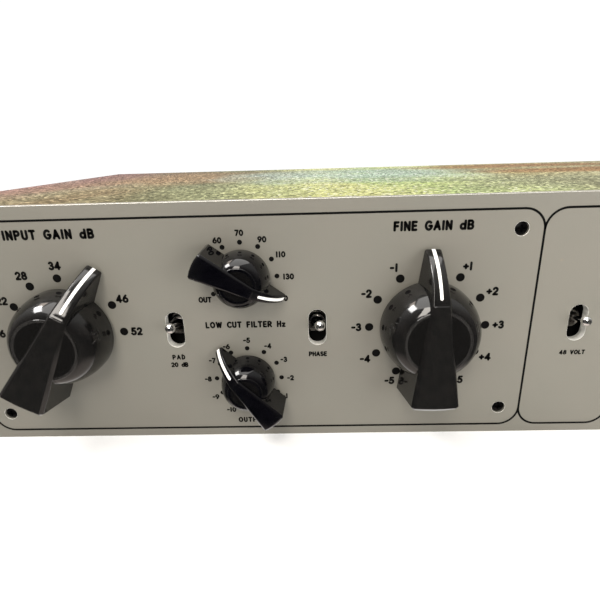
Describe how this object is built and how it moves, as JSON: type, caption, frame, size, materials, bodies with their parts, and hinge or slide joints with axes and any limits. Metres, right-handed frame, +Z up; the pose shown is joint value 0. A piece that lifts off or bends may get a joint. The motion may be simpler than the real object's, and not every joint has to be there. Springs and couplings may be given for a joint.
{
  "type": "microphone preamplifier",
  "caption": "Two-unit-high rack microphone preamp with pointer-knob gain, filter and output dials, toggle switches in slots, and rear connectors.",
  "frame": {"origin": "centre of the bottom of the unit’s box", "axes": "+X to the right seen from the front, +Y from the front panel to the rear, +Z up"},
  "size_m": [0.4826, 0.2478, 0.0881],
  "materials": {
    "panel_paint": "satin warm grey paint",
    "screw_black": "black oxide",
    "passivated_steel": "yellow passivated, iridescent",
    "zinc_steel": "zinc plated",
    "knob_black": "glossy phenolic",
    "steel": "plated",
    "chrome": "polished",
    "black_moulding": "moulded",
    "lens_red": "clear red",
    "connector_nickel": "satin nickel",
    "winding_tape": "polyester tape over copper",
    "core_lamination": "varnished laminations",
    "circuit_board": "green solder resist",
    "capacitor_sleeve": "shrink sleeve",
    "lead_sleeve": "PVC"
  },
  "bodies": {
    "chassis": {"front_panel": "panel_paint", "panel_screw_1": "screw_black", "panel_screw_2": "screw_black", "panel_screw_3": "screw_black", "panel_screw_4": "screw_black", "panel_screw_5": "screw_black", "panel_screw_6": "screw_black", "top_cover": "passivated_steel", "base_plate": "passivated_steel", "rear_panel": "passivated_steel", "sub_panel": "zinc_steel", "heat_sink": "zinc_steel", "voltage_gain_switch": "steel", "rumble_filter_switch": "steel", "output_pot": "steel", "fine_gain_switch": "steel", "pad_toggle_nut": "chrome", "pad_toggle_body": "black_moulding", "pole_toggle_nut": "chrome", "pole_toggle_body": "black_moulding", "phantom_toggle_nut": "chrome", "phantom_toggle_body": "black_moulding", "mains_toggle_nut": "chrome", "mains_toggle_body": "black_moulding", "lamp_bezel": "chrome", "lamp_lens": "lens_red", "input_socket": "connector_nickel", "output_plug": "connector_nickel", "mains_inlet": "black_moulding", "fuse_holder": "black_moulding", "mains_transformer": "winding_tape", "transformer_clamp": "steel", "transformer_bolt": "steel", "input_transformer": "steel", "output_transformer": "core_lamination", "amplifier_board": "circuit_board", "power_board": "circuit_board", "board_standoff_1": "steel", "board_standoff_2": "steel", "board_standoff_3": "steel", "board_standoff_4": "steel", "reservoir_capacitor_1": "capacitor_sleeve", "reservoir_capacitor_2": "capacitor_sleeve", "input_lead": "lead_sleeve", "output_lead": "lead_sleeve", "mains_lead": "lead_sleeve"},
    "voltage_gain_control": {"voltage_gain_knob": "knob_black", "voltage_gain_shaft": "steel"},
    "rumble_filter_control": {"rumble_filter_knob": "knob_black", "rumble_filter_shaft": "steel"},
    "output_control": {"output_knob": "knob_black", "output_shaft": "steel"},
    "fine_gain_control": {"fine_gain_knob": "knob_black", "fine_gain_shaft": "steel"},
    "pad_lever": {"pad_toggle_lever": "chrome"},
    "pole_lever": {"pole_toggle_lever": "chrome"},
    "phantom_lever": {"phantom_toggle_lever": "chrome"},
    "mains_lever": {"mains_toggle_lever": "chrome"},
    "latch": {"input_latch": "connector_nickel"},
    "fuse_cap": {"fuse_cap": "black_moulding"}
  },
  "joints": [
    {"name": "voltage_gain_turn", "type": "hinge", "parent": "chassis", "child": "voltage_gain_control", "pos_m": [-0.1518, -0.10665, 0.0435], "axis": [0, 1, 0], "range_deg": [-120, 60]},
    {"name": "rumble_filter_turn", "type": "hinge", "parent": "chassis", "child": "rumble_filter_control", "pos_m": [-0.08845, -0.10665, 0.0627], "axis": [0, 1, 0], "range_deg": [-240, 0]},
    {"name": "output_turn", "type": "hinge", "parent": "chassis", "child": "output_control", "pos_m": [-0.08845, -0.10665, 0.0243], "axis": [0, 1, 0], "range_deg": [-110, 190]},
    {"name": "fine_gain_turn", "type": "hinge", "parent": "chassis", "child": "fine_gain_control", "pos_m": [-0.0251, -0.10665, 0.0435], "axis": [0, 1, 0], "range_deg": [-150, 150]},
    {"name": "pad_switch", "type": "hinge", "parent": "chassis", "child": "pad_lever", "pos_m": [-0.1134, -0.09965, 0.0437], "axis": [1, 0, 0], "range_deg": [0, 28]},
    {"name": "pole_switch", "type": "hinge", "parent": "chassis", "child": "pole_lever", "pos_m": [-0.0632, -0.09965, 0.0437], "axis": [1, 0, 0], "range_deg": [0, 28]},
    {"name": "phantom_switch", "type": "hinge", "parent": "chassis", "child": "phantom_lever", "pos_m": [0.0265, -0.09965, 0.0437], "axis": [1, 0, 0], "range_deg": [0, 28]},
    {"name": "mains_switch", "type": "hinge", "parent": "chassis", "child": "mains_lever", "pos_m": [0.165, -0.09965, 0.0437], "axis": [1, 0, 0], "range_deg": [0, 28]},
    {"name": "latch_press", "type": "slide", "parent": "chassis", "child": "latch", "axis": [0, 0, -1], "range_m": [0, 0.0012], "stiffness_N_per_m": 400, "springref_m": -0.0008},
    {"name": "fuse_cap_turn", "type": "hinge", "parent": "chassis", "child": "fuse_cap", "pos_m": [0.132, 0.11535, 0.046], "axis": [0, 1, 0], "range_deg": [0, 45]}
  ]
}
